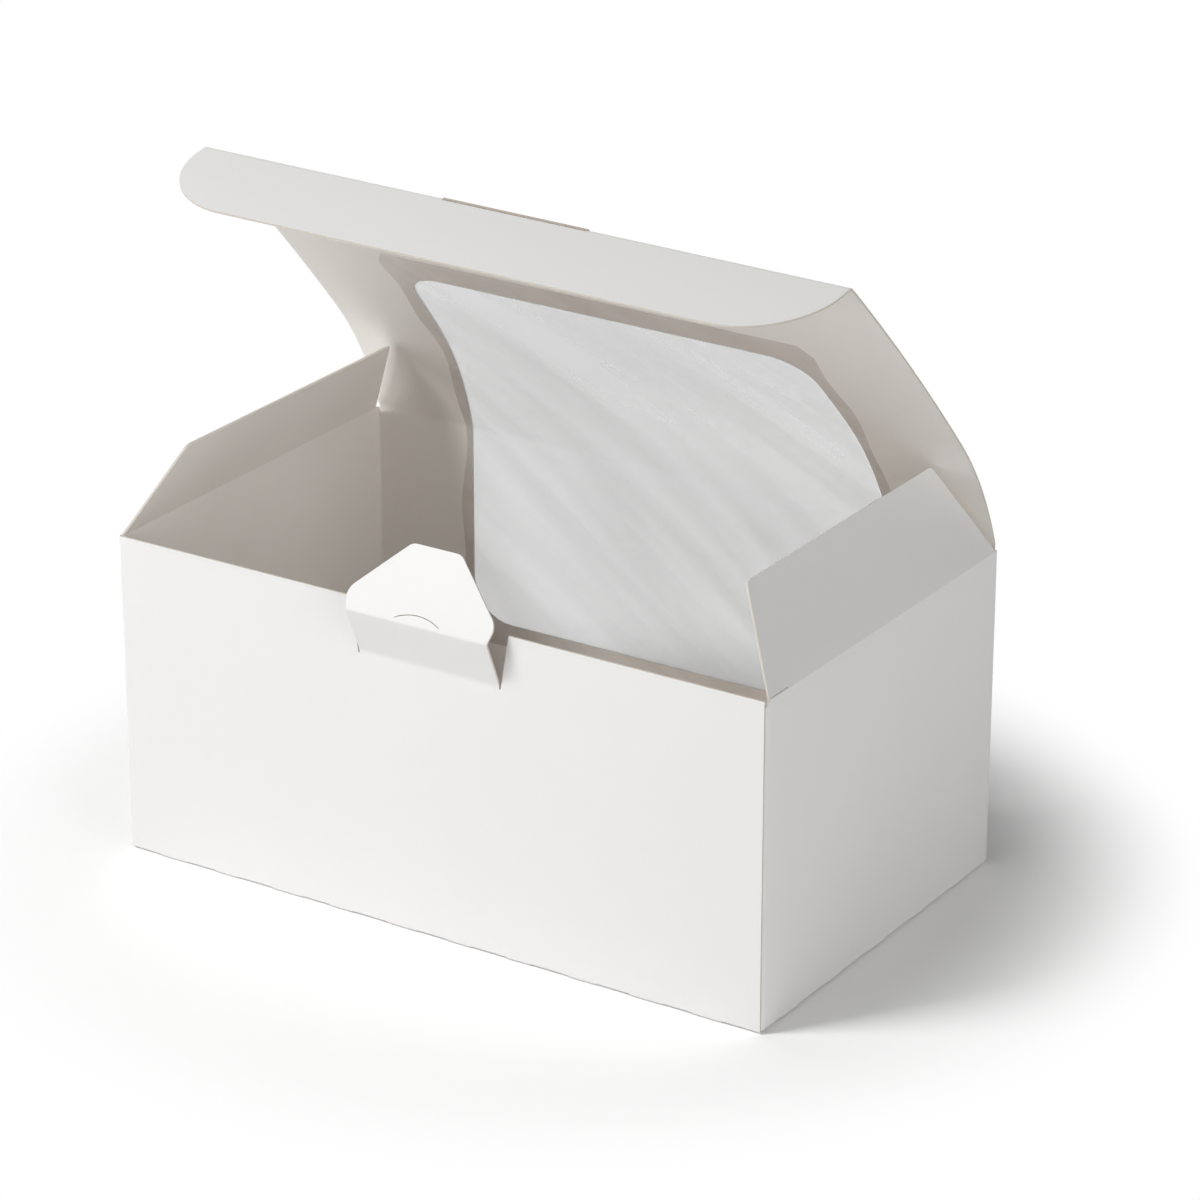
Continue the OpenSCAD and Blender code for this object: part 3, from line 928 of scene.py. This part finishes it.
def perforation_tree():
    tree = bpy.data.node_groups.new("perforated_crease", "GeometryNodeTree")
    tree.interface.new_socket(name="Geometry", in_out="INPUT", socket_type="NodeSocketGeometry")
    for label, value in (("Spacing", 16 * MM), ("Bar length", 8 * MM), ("Bar radius", BAR_R)):
        socket = tree.interface.new_socket(name=label, in_out="INPUT", socket_type="NodeSocketFloat")
        socket.default_value = value
    tree.interface.new_socket(name="Board", in_out="INPUT", socket_type="NodeSocketMaterial")
    tree.interface.new_socket(name="Geometry", in_out="OUTPUT", socket_type="NodeSocketGeometry")
    nodes, links = tree.nodes, tree.links
    given, result = nodes.new("NodeGroupInput"), nodes.new("NodeGroupOutput")
    guide = nodes.new("GeometryNodeMeshToCurve")
    points = nodes.new("GeometryNodeResampleCurve")
    points.mode = "LENGTH"
    bar_path = nodes.new("GeometryNodeCurvePrimitiveLine")
    bar_path.mode = "DIRECTION"
    bar_path.inputs["Direction"].default_value = (0, 0, 1)
    ring = nodes.new("GeometryNodeCurvePrimitiveCircle")
    ring.inputs["Resolution"].default_value = 8
    bar = nodes.new("GeometryNodeCurveToMesh")
    bar.inputs["Fill Caps"].default_value = True
    tangent = nodes.new("GeometryNodeInputTangent")
    turn = nodes.new("FunctionNodeAlignEulerToVector")
    turn.axis = "Z"
    place_bars = nodes.new("GeometryNodeInstanceOnPoints")
    vary = nodes.new("FunctionNodeRandomValue")
    vary.data_type = "FLOAT"
    vary.inputs["Seed"].default_value = 4
    for socket in vary.inputs:
        if socket.identifier == "Min_001":
            socket.default_value = 0.75
        if socket.identifier == "Max_001":
            socket.default_value = 1.15
    stretch = nodes.new("ShaderNodeCombineXYZ")
    stretch.inputs["X"].default_value = 1
    stretch.inputs["Y"].default_value = 1
    real = nodes.new("GeometryNodeRealizeInstances")
    paint = nodes.new("GeometryNodeSetMaterial")
    links.new(given.outputs["Geometry"], guide.inputs["Mesh"])
    links.new(guide.outputs["Curve"], points.inputs["Curve"])
    links.new(given.outputs["Spacing"], points.inputs["Length"])
    links.new(given.outputs["Bar length"], bar_path.inputs["Length"])
    links.new(given.outputs["Bar radius"], ring.inputs["Radius"])
    links.new(bar_path.outputs["Curve"], bar.inputs["Curve"])
    links.new(ring.outputs["Curve"], bar.inputs["Profile Curve"])
    links.new(points.outputs["Curve"], place_bars.inputs["Points"])
    links.new(bar.outputs["Mesh"], place_bars.inputs["Instance"])
    links.new(tangent.outputs["Tangent"], turn.inputs["Vector"])
    links.new(turn.outputs["Rotation"], place_bars.inputs["Rotation"])
    links.new(next(s for s in vary.outputs if s.identifier == "Value_001"), stretch.inputs["Z"])
    links.new(stretch.outputs["Vector"], place_bars.inputs["Scale"])
    links.new(place_bars.outputs["Instances"], real.inputs["Geometry"])
    links.new(real.outputs["Geometry"], paint.inputs["Geometry"])
    links.new(given.outputs["Board"], paint.inputs["Material"])
    links.new(paint.outputs["Geometry"], result.inputs["Geometry"])
    return tree


# %% Perforated creases round the bottom
GUIDE_IN = BAR_R + 0.05 * MM
GUIDE_END = 9 * MM
gx, gy = BOX_W / 2 - GUIDE_IN, BOX_D / 2 - GUIDE_IN
guide_mesh = bpy.data.meshes.new("perforation_guide")
guide_points = [(-gx + GUIDE_END, -gy, GUIDE_IN), (gx - 2 * GUIDE_END, -gy, GUIDE_IN),
                (gx, -gy + GUIDE_END, GUIDE_IN), (gx, gy - 2 * GUIDE_END, GUIDE_IN),
                (gx - GUIDE_END, gy, GUIDE_IN), (-gx + 2 * GUIDE_END, gy, GUIDE_IN),
                (-gx, gy - GUIDE_END, GUIDE_IN), (-gx, -gy + 2 * GUIDE_END, GUIDE_IN)]
guide_mesh.from_pydata(guide_points, [(0, 1), (2, 3), (4, 5), (6, 7)], [])
guide = bpy.data.objects.new("perforation_guide", guide_mesh)
bpy.context.scene.collection.objects.link(guide)
modifier = guide.modifiers.new("perforations", "NODES")
modifier.node_group = perforation_tree()
for item in modifier.node_group.interface.items_tree:
    if item.in_out == "INPUT" and item.name == "Board":
        modifier[item.identifier] = outside
    if item.in_out == "INPUT" and item.name == "Bar radius":
        modifier[item.identifier] = BAR_R
seen = guide.evaluated_get(bpy.context.evaluated_depsgraph_get())
perforation_mesh = bpy.data.meshes.new_from_object(seen)
perforation_mesh.name = "bottom_perforations"
perforations = bpy.data.objects.new("bottom_perforations", perforation_mesh)
bpy.context.scene.collection.objects.link(perforations)
bpy.data.objects.remove(guide)
print("bottom_perforations has", len(perforation_mesh.polygons), "faces")
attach(perforations, "box")

# %% [markdown]
# The box stands on a plain pale floor in soft light. A large lamp in front,
# above and to the left is the key, a weak low one under it lights the inside
# of the lid, one on the right opens up the shaded side, and the world fills
# the rest. Rays that go straight to the camera, or through gloss and film, see
# a white world and a floor that fades to white away from the box. The light
# that falls on the box comes from the lamps and the dimmer fill only.

# %% Floor
SEEN_FLOOR = 1.05
FADE_START = 0.098
FADE_END = 0.16
GROUND_R = 4.0
GROUND_DROP = 0.2 * MM
floor_mesh = bpy.data.meshes.new("ground")
floor_bm = bmesh.new()
bmesh.ops.create_circle(floor_bm, cap_ends=True, segments=96, radius=GROUND_R)
floor_bm.to_mesh(floor_mesh)
floor_bm.free()
ground = bpy.data.objects.new("ground", floor_mesh)
ground.location.z = -GROUND_DROP
bpy.context.scene.collection.objects.link(ground)
ground_finish, ground_tree, ground_shader = new_material("ground")
ground_shader.inputs["Roughness"].default_value = 0.9
ground_shader.inputs["Specular IOR Level"].default_value = 0.2
ground_shader.inputs["Base Color"].default_value = (0.93, 0.93, 0.93, 1)
ground_rays = ground_tree.nodes.new("ShaderNodeLightPath")
glossy_or_clear = math_node(ground_tree, "MAXIMUM", ground_rays.outputs["Is Glossy Ray"],
                            ground_rays.outputs["Is Transmission Ray"])
lifted = math_node(ground_tree, "MAXIMUM", ground_rays.outputs["Is Camera Ray"], glossy_or_clear)
bright = ground_tree.nodes.new("ShaderNodeBsdfDiffuse")
bright.inputs["Color"].default_value = (SEEN_FLOOR, SEEN_FLOOR, SEEN_FLOOR, 1)
place_on_floor = ground_tree.nodes.new("ShaderNodeTexCoord").outputs["Object"]
apart = ground_tree.nodes.new("ShaderNodeVectorMath")
apart.operation = "LENGTH"
ground_tree.links.new(place_on_floor, apart.inputs[0])
fade = ground_tree.nodes.new("ShaderNodeMapRange")
fade.interpolation_type = "SMOOTHSTEP"
fade.inputs["From Min"].default_value = FADE_START
fade.inputs["From Max"].default_value = FADE_END
ground_tree.links.new(apart.outputs["Value"], fade.inputs["Value"])
backdrop = ground_tree.nodes.new("ShaderNodeEmission")
faded = ground_tree.nodes.new("ShaderNodeMixShader")
ground_tree.links.new(fade.outputs["Result"], faded.inputs["Fac"])
ground_tree.links.new(bright.outputs["BSDF"], faded.inputs[1])
ground_tree.links.new(backdrop.outputs["Emission"], faded.inputs[2])
either = ground_tree.nodes.new("ShaderNodeMixShader")
ground_tree.links.new(lifted, either.inputs["Fac"])
ground_tree.links.new(ground_shader.outputs["BSDF"], either.inputs[1])
ground_tree.links.new(faded.outputs["Shader"], either.inputs[2])
ground_tree.links.new(either.outputs["Shader"], ground_tree.nodes["Material Output"].inputs["Surface"])
floor_mesh.materials.append(ground_finish)

# %% World
world = bpy.data.worlds.new("studio")
bpy.context.scene.world = world
world.use_nodes = True
sky = world.node_tree
fill = sky.nodes["Background"]
fill.inputs["Color"].default_value = (1.0, 0.985, 0.97, 1)
FILL_LEVEL = 0.14
fill.inputs["Strength"].default_value = FILL_LEVEL
white = sky.nodes.new("ShaderNodeBackground")
white.inputs["Color"].default_value = (1, 1, 1, 1)
white.inputs["Strength"].default_value = 1
rays = sky.nodes.new("ShaderNodeLightPath")
first = math_node(sky, "MAXIMUM", rays.outputs["Is Camera Ray"], rays.outputs["Is Glossy Ray"])
seen_white = math_node(sky, "MAXIMUM", first, rays.outputs["Is Transmission Ray"])
choose = sky.nodes.new("ShaderNodeMixShader")
sky.links.new(seen_white, choose.inputs["Fac"])
sky.links.new(fill.outputs["Background"], choose.inputs[1])
sky.links.new(white.outputs["Background"], choose.inputs[2])
sky.links.new(choose.outputs["Shader"], sky.nodes["World Output"].inputs["Surface"])


# %% Lamps
def soft_lamp(name, place, target, size, power):
    data = bpy.data.lights.new(name, "AREA")
    data.shape = "SQUARE"
    data.size = size
    data.energy = power
    lamp = bpy.data.objects.new(name, data)
    lamp.location = place
    lamp.rotation_euler = (Vector(target) - Vector(place)).to_track_quat("-Z", "Y").to_euler()
    bpy.context.scene.collection.objects.link(lamp)
    return lamp


CENTRE = (0, 0, 0.07)
soft_lamp("key", (-0.62, -0.74, 1.15), CENTRE, 0.42, 13.5)
soft_lamp("low_fill", (-0.75, -1.05, 0.22), CENTRE, 0.5, 3.2)
soft_lamp("side_fill", (1.4, -0.5, 0.46), CENTRE, 0.8, 7.0)

# %% [markdown]
# The camera stands where the photograph was taken from: about 33 degrees to
# the right of the front and 23 degrees above level. Its distance and lens
# come from matching the corners of the box, so the perspective agrees too.

# %% Camera
AZIMUTH = radians(32.915)
ELEVATION = radians(22.762)
DISTANCE = 1.1553
FOCAL_PIXELS = 4735.2
FRAME_PIXELS = 1200
AIM_RIGHT = 0.010249
AIM_UP = 0.061807
back = Vector((sin(AZIMUTH) * cos(ELEVATION), -cos(AZIMUTH) * cos(ELEVATION), sin(ELEVATION)))
right = Vector((cos(AZIMUTH), sin(AZIMUTH), 0))
up = back.cross(right)
camera_data = bpy.data.cameras.new("camera")
camera_data.sensor_width = 36
camera_data.lens = FOCAL_PIXELS / FRAME_PIXELS * camera_data.sensor_width
camera_data.clip_start = 0.01
camera_data.clip_end = 20
camera = bpy.data.objects.new("camera", camera_data)
bpy.context.scene.collection.objects.link(camera)
turn = Matrix((right, up, back)).transposed().to_4x4()
camera.matrix_world = Matrix.Translation(back * DISTANCE + right * AIM_RIGHT + up * AIM_UP) @ turn
bpy.context.scene.camera = camera

bpy.context.scene.view_settings.view_transform = "Standard"
